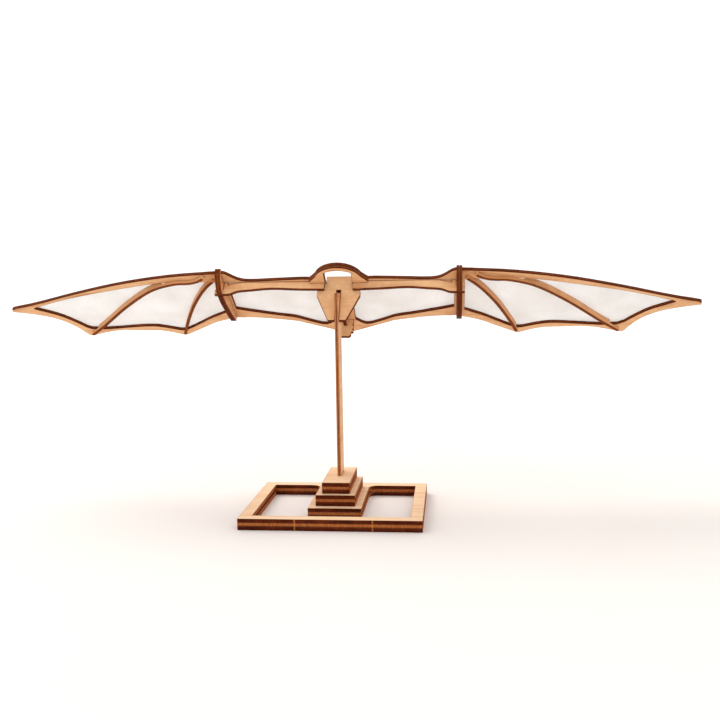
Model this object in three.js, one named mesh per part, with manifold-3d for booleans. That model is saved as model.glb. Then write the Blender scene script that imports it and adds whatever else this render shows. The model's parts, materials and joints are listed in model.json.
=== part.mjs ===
// Bat-winged glider: a laser-cut plywood kit model that stands on a post and a stepped base.
// Millimetres, +Z up, nose towards -Y. "left" is -X, as the model is seen from in front.
// Origin: centre of the base's underside.
import * as THREE from 'three';
import { mergeVertices } from 'three/addons/utils/BufferGeometryUtils.js';
import Module from 'manifold-3d';

const wasm = await Module();
wasm.setup();

// ---- sheet thicknesses and the clearance between neighbouring plates
const BOARD = 6;
const PLY = 2;
const THIN_PLY = 1.4;
const PAPER = 0.4;
const GAP = 0.3;

// ---- stand
const BASE_WIDTH = 95.4;
const BASE_DEPTH = 78;
const BASE_BAR = 6.4;
const TONGUE = { halfWidth: 14.4, front: -17.5, fillet: 5 };
const MIDDLE_BLOCK = { width: 21.4, front: -13.1, back: 30.5 };
const TOP_BLOCK = { width: 15.1, front: -9.8, back: 28.5 };
const POST = { front: 6, depth: 14, top: 119.6 };
const POST_TENON = { front: 8, back: 18 };

// ---- glider: a flat wing, nose up. s runs forward in the wing's plane, h down from its underside.
const PITCH = THREE.MathUtils.degToRad(36.7);
const WING_ORIGIN = new THREE.Vector3(0, 22.63, 124.02);
const SHIELD_BACK = -0.5;
const WEB_BACK = SHIELD_BACK + PLY + GAP;
const WEB_FRONT = WEB_BACK + PLY;
const SPLIT = 67.1;              // where the centre section ends and an outer wing begins
const WINDOW_FRONT = -3;         // front edge of the centre windows
const CENTRE_BAR = 5.8;          // half width of the bar between the two centre windows
const OPENING = { halfWidth: 7.6, archRadius: 14.8, archCentre: 0.4, back: SHIELD_BACK - GAP };
const RING = { radius: 13.95, centre: 4.15, footX: 16.5, footS: 5.3, shoulder: 0.39 };
const TAIL = { back: -38, halfWidth: 4.8, neck: 4.2, top: -5.2, lobe: 3.5, step: 8.8, bottom: 11.8 };
const LAP = 4.6;                 // depth at which the ribs' notches meet the webs' tenons
const TENON = { end: 70.1, bottom: 8.2 };
const RIB = { front: 12.7, hook: 14, back: -31.9 };
const HUB_SLOT = { halfWidth: PLY / 2 + GAP, roof: 4.7 };
const KEEL = { tail: 4.6, chin: 13, elbow: -13 };
const BATTEN = { thickness: 1.8, bottom: 2.1, nose: 1.2 };

// ---- materials
function wood(color, roughness = 0.72) {
  return () => new THREE.MeshStandardMaterial({ color, roughness, metalness: 0 });
}

const boardWood = wood(0xe6c49c);
const plateWood = wood(0xdcae80);
const stripWood = wood(0xc8925f);
const paper = wood(0xf3ece0, 0.85);

// ---- shape helpers
const v2 = (x, y) => new THREE.Vector2(x, y);
const points = (list) => list.map(([x, y]) => v2(x, y));
const smooth = (list, divisions = 18) => new THREE.SplineCurve(points(list)).getPoints(divisions);
const mirrored = (list) => list.map((p) => v2(-p.x, p.y)).reverse();

function arc(cx, cy, radius, from, to, divisions) {
  const curve = new THREE.EllipseCurve(cx, cy, radius, radius, from, to, to < from);
  return curve.getPoints(divisions);
}

function rectangle(x0, x1, y0, y1) {
  return points([[x0, y0], [x1, y0], [x1, y1], [x0, y1]]);
}

// An anticlockwise outline lets ExtrudeGeometry sort out which way each hole runs.
function extruded(outline, holes, thickness) {
  const clockwise = THREE.ShapeUtils.isClockWise(outline);
  const shape = new THREE.Shape(clockwise ? [...outline].reverse() : outline);
  shape.holes = holes.map((hole) => new THREE.Path(hole));
  return new THREE.ExtrudeGeometry(shape, { depth: thickness, bevelEnabled: false, steps: 1 });
}

// A board lying flat: outline in (x, y), from height z upwards.
function lying(outline, holes, z, thickness) {
  return extruded(outline, holes, thickness).translate(0, 0, z);
}

// A plate in the wing's plane: outline in (x, s), filling depths hTop to hBottom.
function inWing(outline, holes, hTop, hBottom) {
  const flip = (list) => list.map((p) => v2(p.x, -p.y));
  return extruded(flip(outline), holes.map(flip), hBottom - hTop).translate(0, 0, -hBottom);
}

// A plate square to the wing and facing forward: outline in (x, h), its back face at s = sBack.
function acrossWing(outline, holes, sBack, thickness) {
  const flip = (list) => list.map((p) => v2(p.x, -p.y));
  return extruded(flip(outline), holes.map(flip), thickness).rotateX(Math.PI / 2).translate(0, -sBack, 0);
}

// A plate on edge, facing sideways: outline in (y, z), from x upwards.
function onEdge(outline, x, thickness) {
  const turn = new THREE.Matrix4().makeBasis(
    new THREE.Vector3(0, 1, 0), new THREE.Vector3(0, 0, 1), new THREE.Vector3(1, 0, 0));
  return extruded(outline, [], thickness).applyMatrix4(turn).translate(x, 0, 0);
}

// The same, for a plate on the wing: outline in (s, h).
function alongWing(outline, x, thickness) {
  return onEdge(outline.map((p) => v2(-p.x, -p.y)), x, thickness);
}

function toSolid(geometry) {
  const bare = geometry.clone();
  bare.deleteAttribute('normal');
  bare.deleteAttribute('uv');
  const merged = mergeVertices(bare, 1e-4);
  return new wasm.Manifold(new wasm.Mesh({
    numProp: 3,
    vertProperties: new Float32Array(merged.attributes.position.array),
    triVerts: new Uint32Array(merged.index.array),
  }));
}

// The two solids joined ('add'), or the first without the second ('subtract').
function combined(operation, geometry, other) {
  const mesh = toSolid(geometry)[operation](toSolid(other)).getMesh();
  const result = new THREE.BufferGeometry();
  result.setAttribute('position', new THREE.BufferAttribute(mesh.vertProperties, 3));
  result.setIndex(new THREE.BufferAttribute(mesh.triVerts, 1));
  result.computeVertexNormals();
  return result;
}

function addMesh(group, name, geometry, material) {
  const mesh = new THREE.Mesh(geometry, material());
  mesh.name = name;
  group.add(mesh);
}

// ---- stand: three stacked boards with one upright plate tenoned through them
function buildStand() {
  const stand = new THREE.Group();
  const halfWidth = BASE_WIDTH / 2;
  const halfDepth = BASE_DEPTH / 2;
  const inX = halfWidth - BASE_BAR;
  const inY = halfDepth - BASE_BAR;
  const { halfWidth: tongueX, front: tongueY, fillet } = TONGUE;
  const filletArc = arc(tongueX + fillet, inY - fillet, fillet, Math.PI, Math.PI / 2, 8);
  const opening = [
    ...points([[inX, inY], [inX, -inY], [-inX, -inY], [-inX, inY]]),
    ...mirrored(filletArc),
    ...points([[-tongueX, tongueY], [tongueX, tongueY]]),
    ...filletArc,
  ];
  const socketX = PLY / 2 + GAP;
  const socket = rectangle(-socketX, socketX, POST_TENON.front - GAP, POST_TENON.back + GAP);
  const frame = rectangle(-halfWidth, halfWidth, -halfDepth, halfDepth);
  addMesh(stand, 'base_frame', lying(frame, [opening, socket], 0, BOARD), boardWood);
  [['middle_block', MIDDLE_BLOCK], ['top_block', TOP_BLOCK]].forEach(([name, block], level) => {
    const outline = rectangle(-block.width / 2, block.width / 2, block.front, block.back);
    addMesh(stand, name, lying(outline, [socket], BOARD * (level + 1), BOARD), boardWood);
  });

  const shoulder = 3 * BOARD;
  const postBack = POST.front + POST.depth;
  const post = points([
    [POST_TENON.front, GAP], [POST_TENON.back, GAP], [POST_TENON.back, shoulder], [postBack, shoulder],
    [postBack, POST.top], [POST.front, POST.top], [POST.front, shoulder], [POST_TENON.front, shoulder],
  ]);
  addMesh(stand, 'stand_post', onEdge(post, -PLY / 2, PLY), plateWood);
  return stand;
}

// ---- the head ring's outline, shared by the centre frame and the ring's second layer
function ringOutside() {
  const { radius, centre, footX, footS, shoulder } = RING;
  const right = [v2(footX, footS), ...arc(0, centre, radius, shoulder, Math.PI / 2, 10)];
  return [...right, ...mirrored(right).slice(1)];
}

// Runs from the opening's right end at s = back, over the arch, to its left end.
function ringInside(back) {
  const { halfWidth, archRadius, archCentre } = OPENING;
  const start = Math.acos(halfWidth / archRadius);
  const arch = arc(0, archCentre, archRadius, start, Math.PI - start, 16);
  return [v2(halfWidth, back), ...arch, v2(-halfWidth, back)];
}

// ---- outlines of the two kinds of wing section, right-hand side, in (x, s)
function centreOutline() {
  const leading = smooth([
    [66.95, 12.4], [63.5, 11.4], [57.5, 6], [51, 4.1], [36, 4.8], [22, 5.5], [18, 5.4],
  ]);
  const trailing = [
    v2(0, -50.5),
    ...smooth([[8, -47], [25, -39], [31, -36.6], [51, -33], [SPLIT - GAP / 2, -32.3]]),
  ];
  return [...trailing, ...leading, ...ringOutside(), ...mirrored(leading), ...mirrored(trailing.slice(1))];
}

function centreWindow() {
  return [
    ...points([[CENTRE_BAR, WINDOW_FRONT], [64.3, WINDOW_FRONT], [64.3, -23.4]]),
    ...smooth([[57.5, -25.6], [42, -30], [30, -33], [22, -37.2], [15, -40.6]], 12),
    ...points([[12, -41], [9.6, -39.8], [CENTRE_BAR, -36]]),
  ];
}

function outerOutline() {
  const root = SPLIT + GAP / 2;
  return [
    ...smooth([[root, 11.9], [95, 9.5], [125, 3.5], [155, -5.6], [182.5, -15.4], [202.7, -21.8]]),
    ...smooth([[202.7, -24.2], [190, -27], [178.5, -31.9], [170, -40], [164, -51.2]], 14),
    ...smooth([[162, -51.6], [146, -46.2], [130, -45.2], [115, -46.6], [102.6, -51.7]], 14),
    ...smooth([[101, -51.4], [88.9, -43.6], [79, -37.3], [root, -33]], 10),
  ];
}

function outerWindow() {
  return [
    ...smooth([[70.2, 3.6], [85, 4.3], [104, 3.6], [125, -0.7], [155, -8.4], [171, -13.6], [187.5, -20]]),
    ...smooth([[188.5, -21.3], [175.5, -28.6], [167, -37], [163, -42]], 10),
    ...smooth([[160.5, -43.8], [149.5, -44.2], [128, -41.8], [117, -41.9], [104.5, -46]], 12),
    ...smooth([[102.5, -46.2], [97, -44], [80.8, -32.6], [70.2, -26.8]], 10),
  ];
}

// ---- plates that stand on the wing
// The shield's slot is open below and straddles the post.
function shieldPlate() {
  const neck = OPENING.halfWidth - GAP;
  const tip = 24.8;
  const right = points([[5, tip], [12.2, 8.4], [12.2, 5.8], [10.8, GAP], [neck, GAP], [neck, -4.6]]);
  const { halfWidth: slotX, roof } = HUB_SLOT;
  const half = [v2(slotX, roof), v2(slotX, tip), ...right];
  return acrossWing([...half, ...mirrored(half)], [], SHIELD_BACK, PLY);
}

// The keel stands behind the post, leans on it and runs back to the tail plate.
function keelPlate() {
  const front = SHIELD_BACK - GAP;
  const postBack = POST.front + POST.depth + GAP;
  const behindPost = (h) => (WING_ORIGIN.y - h * Math.sin(PITCH) - postBack) / Math.cos(PITCH);
  const brow = (WING_ORIGIN.y - front * Math.cos(PITCH) - postBack) / Math.sin(PITCH);
  const outline = [
    ...points([[front, GAP], [front, brow], [behindPost(KEEL.chin), KEEL.chin]]),
    ...smooth([[behindPost(KEEL.chin) - 1, 12.6], [-9.4, 9.8], [KEEL.elbow, 7.8], [-22, 5.4]], 10),
    ...points([[TAIL.back + PLY + GAP, KEEL.tail], [TAIL.back + PLY + GAP, GAP]]),
  ];
  return alongWing(outline, -PLY / 2, PLY);
}

function webPlate(side) {
  const notchX = SPLIT - THIN_PLY - GAP / 2 - GAP;
  const lower = smooth([[8, 5.4], [22, 5.1], [38, 4.3], [50, 5.3], [57, 6], [61, 7.7], [63, 8.1]]);
  const upper = points([
    [TENON.end, TENON.bottom], [TENON.end, LAP + GAP], [notchX, LAP + GAP], [notchX, GAP],
    [63.2, GAP], [63, 2.3], [56, GAP], [8, GAP],
  ]);
  const outline = [...lower, ...upper];
  return acrossWing(outline.map((p) => v2(side * p.x, p.y)), [], WEB_BACK, PLY);
}

function ribPlate(side, inner) {
  const notchFront = WEB_FRONT + GAP;
  const notchBack = WEB_BACK - GAP;
  const outline = [
    ...points([[RIB.front, GAP], [RIB.front, -2], [RIB.hook - 0.4, -2.2], [RIB.hook, -1.6]]),
    ...smooth([[RIB.hook, 0.5], [12.4, 3], [9.4, 5.4], [6, 7.8]], 8),
    ...points([[notchFront, TENON.bottom], [notchFront, LAP], [notchBack, LAP], [notchBack, TENON.bottom]]),
    ...smooth([[-6, 7.9], [-20, 5.6], [RIB.back + 0.6, 3.3]], 8),
    ...points([[RIB.back, 2.7], [RIB.back, GAP]]),
  ];
  const near = inner ? SPLIT - GAP / 2 - THIN_PLY : SPLIT + GAP / 2;
  return alongWing(outline, side > 0 ? near : -near - THIN_PLY, THIN_PLY);
}

function tailPlate() {
  const { halfWidth, neck, top, lobe, step, bottom } = TAIL;
  const notch = 0.7;
  const right = points([
    [lobe - 1, bottom], [lobe, bottom - 1], [lobe, step], [halfWidth, step],
    [halfWidth, 6.6 + notch], [halfWidth - notch, 6.6 + notch], [halfWidth - notch, 6.6], [halfWidth, 6.6],
    [halfWidth, 3.4 + notch], [halfWidth - notch, 3.4 + notch], [halfWidth - notch, 3.4], [halfWidth, 3.4],
    [halfWidth, GAP], [neck, GAP], [neck, top + 0.8], [neck - 0.8, top],
  ]);
  return acrossWing([...right, ...mirrored(right)], [], TAIL.back, PLY);
}

function isInside(point, outline) {
  const crossings = outline.filter((a, i) => {
    const b = outline[(i + 1) % outline.length];
    const straddles = (a.y > point.y) !== (b.y > point.y);
    return straddles && point.x < a.x + ((b.x - a.x) * (point.y - a.y)) / (b.y - a.y);
  });
  return crossings.length % 2 === 1;
}

// A springy strip bent on edge along a path in (x, s). Its ends lie under the frame, with a rounded
// nose in front. Between them it rises through the window, flush with the frame's top.
function battenStrip(side, path, window) {
  const curve = new THREE.SplineCurve(points(path.map(([x, s]) => [side * x, s])));
  const half = BATTEN.thickness / 2;
  const steps = Array.from({ length: 41 }, (_, i) => i / 40);
  const beside = (offset) => (t) => {
    const at = curve.getPointAt(t);
    const along = curve.getTangentAt(t);
    return v2(at.x - along.y * offset, at.y + along.x * offset);
  };
  const band = (ts, top, bottom) =>
    inWing([...ts.map(beside(half)), ...[...ts].reverse().map(beside(-half))], [], top, bottom);
  const inWindow = (t) => [half + GAP, -half - GAP].every((o) => isInside(beside(o)(t), window));
  const clear = steps.filter(inWindow);
  const strip = combined('add', band(steps, GAP, BATTEN.bottom), band(clear, -PLY, BATTEN.bottom));

  const { nose, bottom } = BATTEN;
  const round = arc(nose, nose, nose, -Math.PI / 2, -Math.PI, 8);
  const corner = [v2(-1, nose), v2(-1, -1), v2(nose, -1), ...round];
  const cutter = onEdge(corner, -3, 6);
  const start = curve.getPointAt(0);
  const heading = curve.getTangentAt(0);
  cutter.rotateZ(Math.atan2(-heading.y, heading.x) - Math.PI / 2);
  cutter.translate(start.x, -start.y, -bottom);
  return combined('subtract', strip, cutter);
}

// Paper on top of the frame, trimmed a little inside the frame's outline.
function membrane(side, outline) {
  return inWing(outline.map((p) => v2(side * p.x, p.y)), [], -PLY - GAP - PAPER, -PLY - GAP);
}

// ---- centre section, fixed to the shield
function buildCentre() {
  const centre = new THREE.Group();
  const window = centreWindow();
  const tailSlot = rectangle(-TAIL.neck - GAP, TAIL.neck + GAP, TAIL.back - GAP, TAIL.back + PLY + GAP);
  const cutters = [window, mirrored(window), ringInside(OPENING.back), tailSlot]
    .map((hole) => inWing(hole, [], -2 * PLY, PLY));
  const blank = inWing(centreOutline(), [], -PLY, 0);
  const centreFrame = cutters.reduce((plate, cutter) => combined('subtract', plate, cutter), blank);
  addMesh(centre, 'centre_wing_frame', centreFrame, plateWood);

  const feet = WEB_FRONT + GAP;
  const ring = [
    v2(RING.footX, feet), ...ringOutside(), v2(-RING.footX, feet), ...ringInside(feet).reverse(),
  ];
  addMesh(centre, 'head_ring', inWing(ring, [], GAP, GAP + THIN_PLY), plateWood);
  addMesh(centre, 'hub_shield', shieldPlate(), plateWood);
  addMesh(centre, 'tail_plate', tailPlate(), plateWood);
  addMesh(centre, 'keel_plate', keelPlate(), plateWood);

  for (const [name, side] of [['left', -1], ['right', 1]]) {
    addMesh(centre, `web_${name}`, webPlate(side), plateWood);
    addMesh(centre, `rib_inner_${name}`, ribPlate(side, true), stripWood);
    const sheet = [
      ...points([[4.9, -1.2], [7.9, -1.2], [7.9, 1.5], [65.6, 1.5], [65.6, -27.5]]),
      ...smooth([[58, -28.4], [42, -32.4], [30, -35.2], [22, -39], [12, -43.5]], 10),
      v2(4.9, -43.5),
    ];
    addMesh(centre, `centre_membrane_${name}`, membrane(side, sheet), paper);
  }
  return centre;
}

// ---- one outer wing: frame, rib, two battens and its paper
const LONG_BATTEN = [
  [76, 10.4], [80, 7.2], [86, 5.4], [95, 4.7], [110, -1.6], [129, -17.2], [148, -36.2], [160.4, -47.8],
];
const SHORT_BATTEN = [[71, 7.2], [75.4, 2.6], [81.4, -5.6], [89.2, -19.2], [97.2, -37], [101.2, -47.6]];

function buildOuterWing(name, side) {
  const wing = new THREE.Group();
  const outline = outerOutline().map((p) => v2(side * p.x, p.y));
  const window = outerWindow().map((p) => v2(side * p.x, p.y));
  addMesh(wing, `outer_frame_${name}`, inWing(outline, [window], -PLY, 0), plateWood);
  addMesh(wing, `rib_outer_${name}`, ribPlate(side, false), stripWood);
  addMesh(wing, `batten_long_${name}`, battenStrip(side, LONG_BATTEN, window), stripWood);
  addMesh(wing, `batten_short_${name}`, battenStrip(side, SHORT_BATTEN, window), stripWood);
  const sheet = [
    ...smooth([[69.2, 9.5], [95, 7.6], [125, 1.7], [155, -7], [182.5, -17], [194, -21.2]]),
    ...smooth([[194, -23.6], [178, -30.2], [168, -40], [162.5, -48.6]], 10),
    ...smooth([[160, -49], [146, -45.6], [130, -44.2], [115, -45.2], [103, -49.6]], 12),
    ...smooth([[101, -49.4], [88.9, -41.8], [79, -35.4], [69.2, -31]], 10),
  ];
  addMesh(wing, `outer_membrane_${name}`, membrane(side, sheet), paper);
  return wing;
}

// ---- assembly
const glider = new THREE.Group();
glider.position.copy(WING_ORIGIN);
glider.rotation.x = -PITCH;
glider.add(buildCentre(), buildOuterWing('left', -1), buildOuterWing('right', 1));

const model = new THREE.Group();
model.add(buildStand(), glider);

export default model;
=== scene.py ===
"""Looks of the bat-winged glider model: laser-cut plywood, paper-covered wings, a bright studio table.

Lengths are metres unless a name ends in MM. Wood sheets carry four mesh attributes, with distances in
millimetres: sheet (along the grain, across it, through the sheet), rim (distance to the nearest laser
cut), along (how far the nearest cut runs with the grain, 0 to 1) and tab (1 on a snapped-off stub)."""

import json
import math
import zlib

import bmesh
import bpy
import numpy as np
from mathutils import Matrix, Vector
from mathutils.bvhtree import BVHTree


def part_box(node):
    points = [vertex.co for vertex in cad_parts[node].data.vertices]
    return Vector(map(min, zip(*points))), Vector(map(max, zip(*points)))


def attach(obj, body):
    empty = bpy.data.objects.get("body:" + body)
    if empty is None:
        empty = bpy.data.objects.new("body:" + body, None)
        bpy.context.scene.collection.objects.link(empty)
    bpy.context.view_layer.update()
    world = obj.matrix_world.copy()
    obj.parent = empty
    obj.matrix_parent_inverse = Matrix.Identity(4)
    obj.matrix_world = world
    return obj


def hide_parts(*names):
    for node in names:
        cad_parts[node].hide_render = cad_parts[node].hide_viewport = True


MM = 0.001

SPANWISE = Vector((1, 0, 0))
FORE_AFT = Vector((0, 1, 0))
TOP_SIDE = Vector((0.1, -0.3, 1.0))     # the side of a sheet that counts as its top, however it stands

# Laser-cut edges
EDGE_ROUND = 0.09 * MM
RIM_STEPS = (0.22 * MM, 0.42 * MM)
GLUE_LINE = {"half_width": 0.13 * MM, "depth": 0.07 * MM}
TAB = {"places": (-17.9 * MM, 22.2 * MM), "half_width": 0.36 * MM, "height": 0.1 * MM}
SPLIT_AT = 67.1 * MM             # where the wings plug in; the CAD leaves 0.15 mm on each side
SPLIT_REACH = 0.2 * MM
SPLIT_LEFT = 0.03 * MM
FLAT_ROUND_ANGLE = math.radians(30)     # plates round off every corner sharper than this
BATTEN_ROUND_ANGLE = math.radians(40)
SHARP_ANGLE = math.radians(28)          # shading breaks at corners sharper than this
BATTEN_MARGINS = (0.22 * MM, 0.6 * MM)  # rows of points along a batten's top and bottom edges
BATTEN_MIDDLE = 0.7 * MM                # level in the ply that a batten's wide faces show

BOARD_NODES = ("base_frame", "middle_block", "top_block")
PLATE_NODES = ("centre_wing_frame", "head_ring", "hub_shield", "tail_plate", "web_left", "web_right",
               "outer_frame_left", "outer_frame_right")
RIB_NODES = ("rib_inner_left", "rib_inner_right", "rib_outer_left", "rib_outer_right")
BATTEN_NODES = ("batten_long_left", "batten_long_right", "batten_short_left", "batten_short_right")

# Paper
PAPER_STEP = 2.2 * MM
PAPER_THICKNESS = 0.14 * MM
PAPER_DROP = 0.1 * MM            # from the CAD sheet down towards the frame
PAPER_SAG = 0.9 * MM
PAPER_ROUNDS = 700
PAPER_RIPPLE = 0.14
GLUE_REACH = 3 * MM              # a frame or batten this far under the paper holds it

# Camera
CAMERA_AT = (0.06238, -0.48040, 0.13556)
CAMERA_YAW = 0.1019
CAMERA_PITCH = 0.107
CAMERA_ROLL = -0.016
CAMERA_LENS = 44.82
CAMERA_SENSOR = 36.0
CAMERA_CLIP = 0.01

# Table: a flat disc, then a quarter of an ellipse upwards
SWEEP = {"flat": 1.6, "reach": 1.6, "rise": 1.3, "steps": 16, "sides": 96}
TABLE_FADE = (0.15, 1.3)         # distances between which the table fades to white

# Light
WORLD_STRENGTH = 1.08
WINDOW = {"at": (-0.9, 0.9, 1.5), "aim": (0.0, 0.0, 0.05), "size": 1.2, "watts": 17.0,
          "colour": (1.0, 0.99, 0.97)}

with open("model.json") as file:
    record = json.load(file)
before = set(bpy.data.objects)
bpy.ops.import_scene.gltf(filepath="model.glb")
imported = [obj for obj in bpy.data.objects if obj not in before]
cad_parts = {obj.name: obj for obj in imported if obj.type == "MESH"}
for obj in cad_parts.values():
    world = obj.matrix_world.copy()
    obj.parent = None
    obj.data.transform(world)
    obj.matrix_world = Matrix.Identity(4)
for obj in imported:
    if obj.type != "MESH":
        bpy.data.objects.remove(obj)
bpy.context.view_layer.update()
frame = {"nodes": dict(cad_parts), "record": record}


# ---------------------------------------------------------------- node material helpers

class Graph:
    """Builds a material's node tree with short calls."""

    def __init__(self, name):
        self.material = bpy.data.materials.new(name)
        self.material.use_nodes = True
        self.tree = self.material.node_tree
        self.tree.nodes.clear()

    def node(self, kind, inputs=None, **settings):
        made = self.tree.nodes.new(kind)
        for key, value in settings.items():
            setattr(made, key, value)
        for key, value in (inputs or {}).items():
            if isinstance(value, bpy.types.NodeSocket):
                self.tree.links.new(value, made.inputs[key])
            else:
                made.inputs[key].default_value = value
        return made

    def attribute(self, name, output="Fac"):
        return self.node("ShaderNodeAttribute", attribute_name=name).outputs[output]

    def math(self, operation, a, b=0.0, clamp=False):
        return self.node("ShaderNodeMath", {0: a, 1: b}, operation=operation, use_clamp=clamp).outputs[0]

    def remap(self, value, low, high, to_low=0.0, to_high=1.0):
        inputs = {"Value": value, "From Min": low, "From Max": high, "To Min": to_low, "To Max": to_high}
        return self.node("ShaderNodeMapRange", inputs, clamp=True).outputs[0]

    def mix(self, factor, a, b, blend="MIX"):
        made = self.node("ShaderNodeMix", {0: factor, 6: a, 7: b}, data_type="RGBA", blend_type=blend)
        return made.outputs[2]

    def scaled(self, vector, scale):
        return self.node("ShaderNodeVectorMath", {0: vector, 1: scale}, operation="MULTIPLY").outputs[0]

    def noise(self, vector, scale=1.0, detail=2.0, roughness=0.5, distortion=0.0):
        inputs = {"Vector": vector, "Scale": scale, "Detail": detail, "Roughness": roughness,
                  "Distortion": distortion}
        return self.node("ShaderNodeTexNoise", inputs).outputs["Fac"]

    def ramp(self, value, stops):
        made = self.node("ShaderNodeValToRGB", {"Fac": value})
        elements = made.color_ramp.elements
        while len(elements) < len(stops):
            elements.new(0.5)
        for element, (position, colour) in zip(elements, stops):
            element.position = position
            element.color = colour
        return made.outputs["Color"]


def srgb(code):
    """A linear RGBA colour from a web colour such as 'c8925f'."""
    parts = [int(code[i:i + 2], 16) / 255 for i in (0, 2, 4)]
    linear = [p / 12.92 if p <= 0.04045 else ((p + 0.055) / 1.055) ** 2.4 for p in parts]
    return (*linear, 1.0)


# ---------------------------------------------------------------- wood

def wood_face(g, sheet, faces, pore_colour):
    """Broad streaks, fine fibres and short dark pores, all along the grain. Also gives the relief."""
    light, mid, dark = faces
    streaks = g.noise(g.scaled(sheet, (0.012, 0.28, 0.05)), 1.0, 4.0, 0.55, 0.6)
    fibres = g.noise(g.scaled(sheet, (0.22, 5.5, 0.4)), 1.0, 3.0, 0.6)
    pores = g.noise(g.scaled(sheet, (0.55, 9.0, 0.4)), 1.0, 1.0, 0.4)
    blotch = g.noise(g.scaled(sheet, (0.05, 0.09, 0.05)), 1.0, 2.0, 0.5)
    face = g.ramp(streaks, [(0.28, srgb(dark)), (0.5, srgb(mid)), (0.72, srgb(light))])
    face = g.mix(g.remap(fibres, 0.35, 0.75, 0.0, 0.45), face, srgb(dark))
    face = g.mix(g.remap(pores, 0.68, 0.8, 0.0, 0.38), face, srgb(pore_colour))
    face = g.mix(g.remap(blotch, 0.35, 0.7, 0.0, 0.25), face, srgb(light))
    relief = g.math("ADD", g.math("MULTIPLY", fibres, 0.5), g.math("MULTIPLY", pores, 0.3))
    return face, relief


def scorched(g, face, sheet, rim, strength, ember, glow):
    """A toasted fringe on the face next to each cut, uneven along it."""
    uneven = g.noise(g.scaled(sheet, (0.35, 0.35, 0.35)), 1.0, 3.0, 0.6)
    reach = g.remap(uneven, 0.3, 0.7, 0.24, 0.6)
    fringe = g.math("EXPONENT", g.math("MULTIPLY", g.math("DIVIDE", rim, reach), -1.0))
    toast = g.mix(g.remap(uneven, 0.35, 0.75), srgb(ember), srgb(glow))
    return g.mix(g.math("MULTIPLY", fringe, strength), face, toast)


def burnt_plies(g, sheet, sheet_mm):
    """How burnt each ply is (the outer two where the grain runs with the cut, else the core), and the
    share of the way up through the sheet."""
    through = g.node("ShaderNodeSeparateXYZ", {0: sheet}).outputs["Z"]
    share = g.math("DIVIDE", through, sheet_mm)
    wobble = g.noise(g.scaled(sheet, (0.6, 0.6, 0.0)), 1.0, 2.0, 0.5)
    share = g.math("ADD", share, g.remap(wobble, 0.0, 1.0, -0.03, 0.03))
    core = g.math("SUBTRACT", g.remap(share, 0.37, 0.42), g.remap(share, 0.61, 0.66))
    with_grain = g.remap(g.attribute("along"), 0.35, 0.75)
    return g.math("ABSOLUTE", g.math("SUBTRACT", with_grain, core)), share


def cut_edge(g, sheet, sheet_mm, ply_contrast, char, ember, glow):
    """A laser-cut edge: three plies, striped by the beam and paler on the stubs. Also gives the relief."""
    burnt, share = burnt_plies(g, sheet, sheet_mm)
    beam = g.noise(g.scaled(sheet, (5.0, 5.0, 0.25)), 1.0, 2.0, 0.7)
    patch = g.noise(g.scaled(sheet, (0.12, 0.12, 0.3)), 1.0, 2.0, 0.5)
    tab = g.attribute("tab")
    pale = g.mix(g.remap(beam, 0.3, 0.7), srgb(ember), srgb(glow))
    pale = g.mix(tab, pale, srgb(glow))
    black = g.mix(g.remap(beam, 0.3, 0.8), srgb(char), srgb(ember))
    black = g.mix(g.remap(patch, 0.35, 0.65, 0.0, 0.7), black, srgb(char))
    black = g.mix(g.remap(share, 0.0, 0.35, 0.55, 0.0), black, srgb(char))
    depth = g.math("ADD", 1.0 - ply_contrast, g.math("MULTIPLY", burnt, ply_contrast))
    depth = g.math("SUBTRACT", depth, g.math("MULTIPLY", tab, 0.55), clamp=True)
    return g.mix(depth, pale, black), beam


def wood_material(name, faces, sheet_mm, ply_contrast, scorch,
                  char="360c02", ember="853815", glow="c97d42"):
    """Plywood: streaked faces, scorched along every cut, and three-ply charred edges."""
    g = Graph(name)
    sheet = g.attribute("sheet", "Vector")
    rim = g.attribute("rim")
    face, face_relief = wood_face(g, sheet, faces, glow)
    face = scorched(g, face, sheet, rim, scorch, ember, glow)
    edge, edge_relief = cut_edge(g, sheet, sheet_mm, ply_contrast, char, ember, glow)

    is_edge = g.remap(rim, 0.02, 0.12, 1.0, 0.0)
    relief = g.mix(is_edge, face_relief, edge_relief)
    bump = g.node("ShaderNodeBump", {"Height": relief, "Strength": 0.35, "Distance": 0.00012})
    bsdf = g.node("ShaderNodeBsdfPrincipled", {
        "Base Color": g.mix(is_edge, face, edge),
        "Roughness": g.remap(is_edge, 0.0, 1.0, 0.62, 0.86),
        "Specular IOR Level": g.remap(is_edge, 0.0, 1.0, 0.25, 0.08),
        "Normal": bump.outputs[0]})
    g.node("ShaderNodeOutputMaterial", {"Surface": bsdf.outputs[0]})
    return g.material


board_wood = wood_material("board_wood", ("fbdcb8", "f4cea5", "e2b485"),
                           sheet_mm=6.0, ply_contrast=0.9, scorch=0.45)
plate_wood = wood_material("plate_wood", ("f8cc9c", "efbe8b", "dba16b"),
                           sheet_mm=2.0, ply_contrast=0.3, scorch=0.9)
post_wood = wood_material("post_wood", ("efc59b", "e3b183", "cc9260"),
                          sheet_mm=2.0, ply_contrast=0.95, scorch=0.5,
                          char="45140a", ember="9c5228", glow="c98a58")
strip_wood = wood_material("strip_wood", ("e8b281", "daa06c", "bd7f48"),
                           sheet_mm=1.4, ply_contrast=0.3, scorch=0.8)


def welded_mesh(node):
    """A bmesh of a CAD node, its triangles sharing their corners."""
    bm = bmesh.new()
    bm.from_mesh(frame["nodes"][node].data)
    bmesh.ops.remove_doubles(bm, verts=bm.verts, dist=1e-6)
    bm.normal_update()
    return bm


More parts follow.
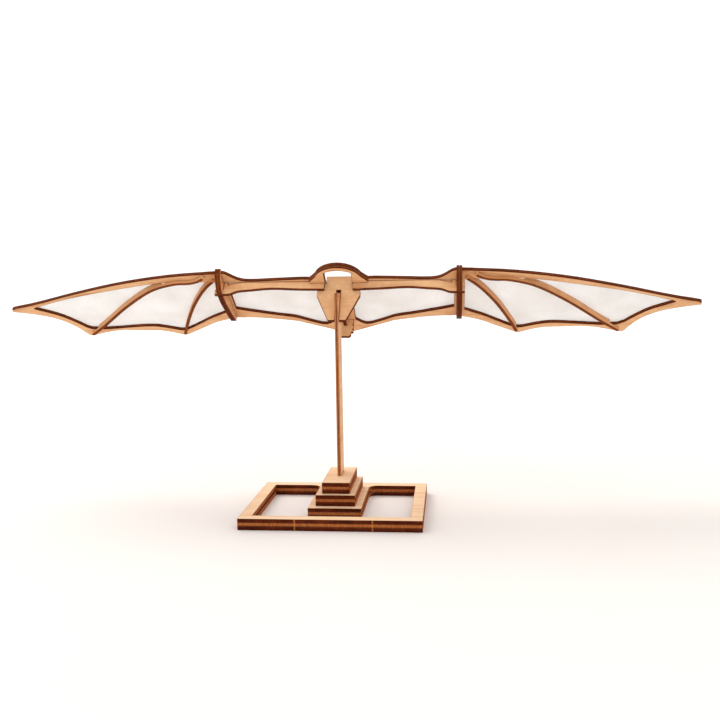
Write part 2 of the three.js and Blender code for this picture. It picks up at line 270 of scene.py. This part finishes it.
def join_walls(bm, normal):
    """Makes each pair of triangles in the cut edges one four-sided face again."""
    walls = [f for f in bm.faces if abs(f.normal.dot(normal)) < 0.5]
    bmesh.ops.join_triangles(bm, faces=walls, angle_face_threshold=math.radians(0.5),
                             angle_shape_threshold=math.pi)
    bm.normal_update()


def facing(bm):
    """The direction that most of the surface faces, without its sign."""
    total = np.zeros((3, 3))
    for face in bm.faces:
        n = np.array(face.normal)
        total += face.calc_area() * np.outer(n, n)
    return Vector(np.linalg.eigh(total)[1][:, -1])


def sheet_axes(normal, grain):
    """Rows: along the grain, across it, through the sheet."""
    normal = normal.normalized()
    if normal.dot(TOP_SIDE) < 0:
        normal = -normal
    along = (grain - normal * grain.dot(normal)).normalized()
    return Matrix((along, normal.cross(along), normal))


def wing_sheet_axes():
    bm = welded_mesh("centre_wing_frame")
    axes = sheet_axes(facing(bm), SPANWISE)
    bm.free()
    return axes


wing_axes = wing_sheet_axes()


def outline_segments(bm, axes):
    """Every cut line of the sheet, as segments in the sheet's own two axes, in metres."""
    normal = axes[2]
    found = []
    for edge in bm.edges:
        if len(edge.link_faces) != 2:
            continue
        a, b = (abs(f.normal.dot(normal)) > 0.9 for f in edge.link_faces)
        if a != b:
            p, q = (axes @ v.co for v in edge.verts)
            found.append((p.x, p.y, q.x, q.y))
    return np.array(found)


def nearest_cut(points, segments):
    """Distance from each point to the nearest segment, and that segment's share along the grain."""
    a, b = segments[:, None, 0:2], segments[:, None, 2:4]
    d = b - a
    t = np.clip(((points[None] - a) * d).sum(2) / np.maximum((d * d).sum(2), 1e-14), 0, 1)
    gap = np.linalg.norm(points[None] - (a + t[..., None] * d), axis=2)
    nearest = gap.argmin(0)
    run = np.abs(d[:, 0, 0]) / np.maximum(np.linalg.norm(d[:, 0], axis=1), 1e-12)
    return gap.min(0), run[nearest]


def seed_offset(name):
    """A repeatable shift in millimetres, so that no two sheets show the same grain."""
    number = zlib.crc32(name.encode())
    return np.array([number % 997, (number // 997) % 991, 0.0]) * (0.37, 0.29, 0.0)


def write_sheet_attributes(mesh, name, sheet, rim, along, tab=None):
    values = sheet / MM + seed_offset(name)
    layer = mesh.attributes.new("sheet", "FLOAT_VECTOR", "POINT")
    layer.data.foreach_set("vector", values.astype(np.float32).ravel())
    tab = np.zeros(len(rim)) if tab is None else tab
    for key, column in (("rim", rim / MM), ("along", along), ("tab", tab)):
        layer = mesh.attributes.new(key, "FLOAT", "POINT")
        layer.data.foreach_set("value", column.astype(np.float32))


def coordinates(mesh):
    co = np.zeros(len(mesh.vertices) * 3, np.float32)
    mesh.vertices.foreach_get("co", co)
    return co.reshape(-1, 3).astype(float)


def add_piece(name, bm, material, node):
    if bm.calc_volume(signed=True) < 0:
        bmesh.ops.reverse_faces(bm, faces=bm.faces[:])
    mesh = bpy.data.meshes.new(name)
    bm.to_mesh(mesh)
    bm.free()
    piece = bpy.data.objects.new(name, mesh)
    bpy.context.scene.collection.objects.link(piece)
    mesh.materials.append(material)
    mesh.shade_smooth()
    mesh.set_sharp_from_angle(angle=SHARP_ANGLE)
    body = next(b for b, nodes in frame["record"]["behaviour"]["bodies"].items() if node in nodes)
    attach(piece, body)
    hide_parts(node)
    return piece


def slice_sheet(bm, axes, level):
    """Cuts all faces where they cross a level through the sheet."""
    geometry = bm.verts[:] + bm.edges[:] + bm.faces[:]
    bmesh.ops.bisect_plane(bm, geom=geometry, dist=1e-7, plane_co=axes[2] * level, plane_no=axes[2])


def round_edges(bm, least_angle):
    bm.normal_update()
    sharp = [e for e in bm.edges if len(e.link_faces) == 2 and e.calc_face_angle(0.0) > least_angle]
    bmesh.ops.bevel(bm, geom=sharp, offset=EDGE_ROUND, segments=2, profile=0.6, affect="EDGES",
                    clamp_overlap=True)


def cut_glue_lines(bm, axes, low, high):
    """Fine grooves in the cut edges where the plies meet."""
    levels = [low + (high - low) * share for share in (1 / 3, 2 / 3)]
    for level in levels:
        for shift in (-GLUE_LINE["half_width"], 0.0, GLUE_LINE["half_width"]):
            slice_sheet(bm, axes, level + shift)
    bm.normal_update()
    grooves = [(v, v.normal.copy()) for v in bm.verts
               if any(abs(axes[2].dot(v.co) - level) < 1e-6 for level in levels)]
    for vertex, outward in grooves:
        vertex.co -= outward * GLUE_LINE["depth"]
    bm.normal_update()


def raise_tabs(bm, places):
    """Stubs on the front edge where the part was snapped out of its sheet."""
    front = min(v.co.y for v in bm.verts)
    for place in places:
        for side in (place - TAB["half_width"], place + TAB["half_width"]):
            bmesh.ops.bisect_plane(bm, geom=bm.verts[:] + bm.edges[:] + bm.faces[:], dist=1e-7,
                                   plane_co=(side, 0, 0), plane_no=(1, 0, 0))
    faces = [f for f in bm.faces if f.normal.y < -0.9 and abs(f.calc_center_median().y - front) < 1e-5
             and any(abs(f.calc_center_median().x - place) < TAB["half_width"] for place in places)]
    raised = bmesh.ops.extrude_face_region(bm, geom=faces)["geom"]
    for vertex in (g for g in raised if isinstance(g, bmesh.types.BMVert)):
        vertex.co.y -= TAB["height"]
    bmesh.ops.delete(bm, geom=faces, context="FACES")


def close_split(bm):
    """Brings the flat faces at the wing joints almost together, as two seated plates are."""
    for vertex in bm.verts:
        side = math.copysign(1.0, vertex.co.x)
        gap = abs(vertex.co.x) - SPLIT_AT
        if abs(gap) < SPLIT_REACH:
            vertex.co.x = side * (SPLIT_AT + math.copysign(SPLIT_LEFT, gap))


def even_out(bm, faces):
    """Swaps the diagonals of a flat side's triangles wherever that makes them less thin."""
    side = set(faces)
    diagonals = {e for f in faces for e in f.edges if all(other in side for other in e.link_faces)}
    bmesh.ops.beautify_fill(bm, faces=faces, edges=list(diagonals))
    bm.normal_update()


def wood_sheet(node, material, grain, plies=False, tabs=()):
    """A finer copy of a flat plate: rounded edges, rings along the rim and, on boards, glue lines."""
    bm = welded_mesh(node)
    close_split(bm)
    axes = sheet_axes(facing(bm), grain)
    join_walls(bm, axes[2])
    levels = [axes[2].dot(v.co) for v in bm.verts]
    low, high = min(levels), max(levels)
    segments = outline_segments(bm, axes)
    if plies:
        cut_glue_lines(bm, axes, low, high)
    flat = [f for f in bm.faces if abs(f.normal.dot(axes[2])) > 0.99]
    for step in RIM_STEPS:
        bmesh.ops.inset_region(bm, faces=flat, thickness=step, use_even_offset=False, use_boundary=True)
    even_out(bm, flat)
    if tabs:
        raise_tabs(bm, tabs)
    round_edges(bm, FLAT_ROUND_ANGLE)
    piece = add_piece(node.replace("_", "-"), bm, material, node)
    local = coordinates(piece.data) @ np.array(axes).T
    rim, along = nearest_cut(local[:, :2], segments)
    local[:, 2] -= low
    stub = coordinates(piece.data)[:, 1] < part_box(node)[0].y - TAB["height"] / 2
    rim[stub] = 0.0
    write_sheet_attributes(piece.data, node, local, rim, along, stub.astype(float))


def batten_piece(node):
    """A strip on edge: its wide faces are ply, and its top and bottom edges are laser cuts."""
    bm = welded_mesh(node)
    normal = wing_axes[2]
    join_walls(bm, normal)
    levels = [normal.dot(v.co) for v in bm.verts]
    low, high = min(levels), max(levels)
    for margin in BATTEN_MARGINS:
        for level in (low + margin, high - margin):
            slice_sheet(bm, wing_axes, level)
    round_edges(bm, BATTEN_ROUND_ANGLE)
    piece = add_piece(node.replace("_", "-"), bm, strip_wood, node)
    local = coordinates(piece.data) @ np.array(wing_axes).T
    rim = np.minimum(local[:, 2] - low, high - local[:, 2])
    sheet = np.column_stack([local[:, 0], local[:, 2] - low, np.full(len(local), BATTEN_MIDDLE)])
    write_sheet_attributes(piece.data, node, sheet, np.maximum(rim, 0), np.ones(len(rim)))


# ---------------------------------------------------------------- paper

def paper_material():
    """Thin off-white paper that lets some light through, with faint fibres and painted shade along its
    edges.
    """
    g = Graph("paper")
    sheet = g.attribute("sheet", "Vector")
    fibres = g.noise(g.scaled(sheet, (0.9, 0.25, 1.0)), 1.0, 4.0, 0.65, 1.2)
    cloud = g.noise(g.scaled(sheet, (0.06, 0.06, 1.0)), 1.0, 3.0, 0.5)
    colour = g.ramp(cloud, [(0.3, srgb("eceae8")), (0.7, srgb("f5f4f3"))])
    colour = g.mix(g.remap(fibres, 0.5, 0.8, 0.0, 0.4), colour, srgb("e3ded8"))
    # painted shade: a thin brown band along the paper's edges, fading out within 0.4 mm
    colour = g.mix(g.remap(g.attribute("rim"), 0.0, 0.4, 0.4, 0.0), colour, srgb("c9a17c"))
    bump = g.node("ShaderNodeBump", {"Height": fibres, "Strength": 0.25, "Distance": 0.00005})
    front = g.node("ShaderNodeBsdfPrincipled", {
        "Base Color": colour, "Roughness": 0.78, "Normal": bump.outputs[0], "Specular IOR Level": 0.2})
    back = g.node("ShaderNodeBsdfTranslucent", {"Color": colour, "Normal": bump.outputs[0]})
    both = g.node("ShaderNodeMixShader", {0: 0.6, 1: front.outputs[0], 2: back.outputs[0]})
    g.node("ShaderNodeOutputMaterial", {"Surface": both.outputs[0]})
    return g.material


paper = paper_material()


def paper_grid(node):
    """The sheet's lower face alone, cut into a fine grid that can bend."""
    bm = welded_mesh(node)
    normal = wing_axes[2]
    unwanted = [f for f in bm.faces if f.normal.dot(normal) > -0.9]
    bmesh.ops.delete(bm, geom=unwanted, context="FACES")
    bmesh.ops.dissolve_limit(bm, angle_limit=math.radians(0.05), verts=bm.verts, edges=bm.edges)
    for axis in (wing_axes[0], wing_axes[1]):
        spread = [axis.dot(v.co) for v in bm.verts]
        for level in np.arange(min(spread) + PAPER_STEP / 2, max(spread), PAPER_STEP):
            geometry = bm.verts[:] + bm.edges[:] + bm.faces[:]
            bmesh.ops.bisect_plane(bm, geom=geometry, dist=1e-6, plane_co=axis * level, plane_no=axis)
    bmesh.ops.triangulate(bm, faces=bm.faces[:])
    return bm


def glued_points(mesh, supports):
    """Indices of the points over the frame or a batten, where the paper is stuck down."""
    bm = bmesh.new()
    for node in supports:
        bm.from_mesh(frame["nodes"][node].data)
    tree = BVHTree.FromBMesh(bm)
    bm.free()
    down = -wing_axes[2]
    return [v.index for v in mesh.vertices if tree.ray_cast(v.co, down, GLUE_REACH)[0] is not None]


def sag_depths(mesh, held):
    """How far each point hangs: a film under an even load, held along the frame and the battens."""
    ends = np.zeros(len(mesh.edges) * 2, np.int32)
    mesh.edges.foreach_get("vertices", ends)
    a, b = ends.reshape(-1, 2).T
    co = coordinates(mesh)
    pull = 1.0 / np.maximum(np.linalg.norm(co[a] - co[b], axis=1), 0.2 * PAPER_STEP)
    count = len(co)
    total = np.bincount(a, pull, count) + np.bincount(b, pull, count)
    depth = np.zeros(count)
    load = 1.0 / np.maximum(total * PAPER_STEP, 1.0)
    for _ in range(PAPER_ROUNDS):
        around = np.bincount(a, pull * depth[b], count) + np.bincount(b, pull * depth[a], count)
        depth = around / total + load
        depth[held] = 0.0
    return depth / depth.max()


def paper_piece(node, supports):
    """A sheet of paper that hangs a little between the bars it is glued to."""
    bm = paper_grid(node)
    mesh = bpy.data.meshes.new(node.replace("_", "-"))
    bm.to_mesh(mesh)
    rest = coordinates(mesh)
    local = rest @ np.array(wing_axes).T / MM
    depth = sag_depths(mesh, glued_points(mesh, supports))
    ripple = 1.0 + PAPER_RIPPLE * np.sin(0.31 * local[:, 0] + 0.9 * np.sin(0.17 * local[:, 1]))
    drop = PAPER_DROP + PAPER_SAG * depth * ripple
    bm.verts.ensure_lookup_table()
    for vertex, fall in zip(bm.verts, drop):
        vertex.co -= wing_axes[2] * fall
    border = np.array([[*(wing_axes @ e.verts[0].co).xy, *(wing_axes @ e.verts[1].co).xy]
                       for e in bm.edges if e.is_boundary])
    bmesh.ops.recalc_face_normals(bm, faces=bm.faces[:])
    bmesh.ops.solidify(bm, geom=bm.faces[:], thickness=PAPER_THICKNESS)
    bmesh.ops.recalc_face_normals(bm, faces=bm.faces[:])
    bpy.data.meshes.remove(mesh)
    piece = add_piece(node.replace("_", "-"), bm, paper, node)
    local = coordinates(piece.data) @ np.array(wing_axes).T
    rim, along = nearest_cut(local[:, :2], border)
    write_sheet_attributes(piece.data, node, local, rim, along)


# ---------------------------------------------------------------- the object

for node in BOARD_NODES:
    wood_sheet(node, board_wood, SPANWISE, True, TAB["places"] if node == "base_frame" else ())
wood_sheet("stand_post", post_wood, FORE_AFT)
for node in PLATE_NODES:
    wood_sheet(node, plate_wood, SPANWISE)
wood_sheet("keel_plate", plate_wood, FORE_AFT)
for node in RIB_NODES:
    wood_sheet(node, strip_wood, FORE_AFT)
for node in BATTEN_NODES:
    batten_piece(node)
for side in ("left", "right"):
    paper_piece(f"centre_membrane_{side}", ["centre_wing_frame"])
    paper_piece(f"outer_membrane_{side}",
                [f"outer_frame_{side}", f"batten_long_{side}", f"batten_short_{side}"])


# ---------------------------------------------------------------- studio

def sweep_profile():
    """Radius and height from the middle of the table out to the top of the sweep."""
    profile = [(0.0, 0.0)]
    for i in range(SWEEP["steps"] + 1):
        t = i / SWEEP["steps"] * math.pi / 2
        profile.append((SWEEP["flat"] + SWEEP["reach"] * math.sin(t), SWEEP["rise"] * (1 - math.cos(t))))
    return profile


def build_table():
    """A pale table top whose rim sweeps up on every side, so that no horizon shows."""
    g = Graph("pale_table")
    position = g.node("ShaderNodeTexCoord").outputs["Object"]
    mottle = g.noise(position, 3.0, 3.0, 0.5)
    near = g.ramp(mottle, [(0.3, srgb("e8e1db")), (0.7, srgb("ebe4df"))])
    distance = g.node("ShaderNodeVectorMath", {0: position}, operation="LENGTH").outputs["Value"]
    colour = g.mix(g.remap(distance, *TABLE_FADE), near, srgb("fbfbfb"))
    bsdf = g.node("ShaderNodeBsdfPrincipled", {
        "Base Color": colour, "Roughness": 0.75, "Specular IOR Level": 0.1})
    g.node("ShaderNodeOutputMaterial", {"Surface": bsdf.outputs[0]})
    bm = bmesh.new()
    path = [bm.verts.new((r, 0.0, z)) for r, z in sweep_profile()]
    for a, b in zip(path, path[1:]):
        bm.edges.new((a, b))
    bmesh.ops.spin(bm, geom=bm.verts[:] + bm.edges[:], cent=(0, 0, 0), axis=(0, 0, 1), angle=2 * math.pi,
                   steps=SWEEP["sides"], use_merge=True)
    bmesh.ops.remove_doubles(bm, verts=bm.verts, dist=1e-5)
    bmesh.ops.recalc_face_normals(bm, faces=bm.faces[:])
    mesh = bpy.data.meshes.new("table")
    bm.to_mesh(mesh)
    bm.free()
    mesh.materials.append(g.material)
    mesh.shade_smooth()
    table = bpy.data.objects.new("table", mesh)
    bpy.context.scene.collection.objects.link(table)


def build_world(strength):
    world = bpy.data.worlds.new("white_room")
    bpy.context.scene.world = world
    world.use_nodes = True
    background = world.node_tree.nodes["Background"]
    background.inputs["Color"].default_value = srgb("ffffff")
    background.inputs["Strength"].default_value = strength


def build_light(name, at, aim, size, watts, colour):
    data = bpy.data.lights.new(name, "AREA")
    data.shape = "DISK"
    data.size = size
    data.energy = watts
    data.color = colour
    light = bpy.data.objects.new(name, data)
    light.location = at
    light.rotation_euler = (Vector(aim) - Vector(at)).to_track_quat("-Z", "Y").to_euler()
    bpy.context.scene.collection.objects.link(light)


def build_camera():
    forward = Vector((-math.sin(CAMERA_YAW) * math.cos(CAMERA_PITCH),
                      math.cos(CAMERA_YAW) * math.cos(CAMERA_PITCH),
                      -math.sin(CAMERA_PITCH)))
    level = Vector((math.cos(CAMERA_YAW), math.sin(CAMERA_YAW), 0.0))
    above = level.cross(forward)
    right = level * math.cos(CAMERA_ROLL) + above * math.sin(CAMERA_ROLL)
    up = above * math.cos(CAMERA_ROLL) - level * math.sin(CAMERA_ROLL)
    turn = Matrix((right, up, -forward)).transposed().to_4x4()
    data = bpy.data.cameras.new("camera")
    data.lens = CAMERA_LENS
    data.sensor_width = CAMERA_SENSOR
    data.clip_start = CAMERA_CLIP
    camera = bpy.data.objects.new("camera", data)
    camera.matrix_world = Matrix.Translation(CAMERA_AT) @ turn
    bpy.context.scene.collection.objects.link(camera)
    bpy.context.scene.camera = camera


build_table()
build_world(WORLD_STRENGTH)
build_light("window", **WINDOW)
build_camera()
bpy.context.scene.view_settings.view_transform = "Standard"
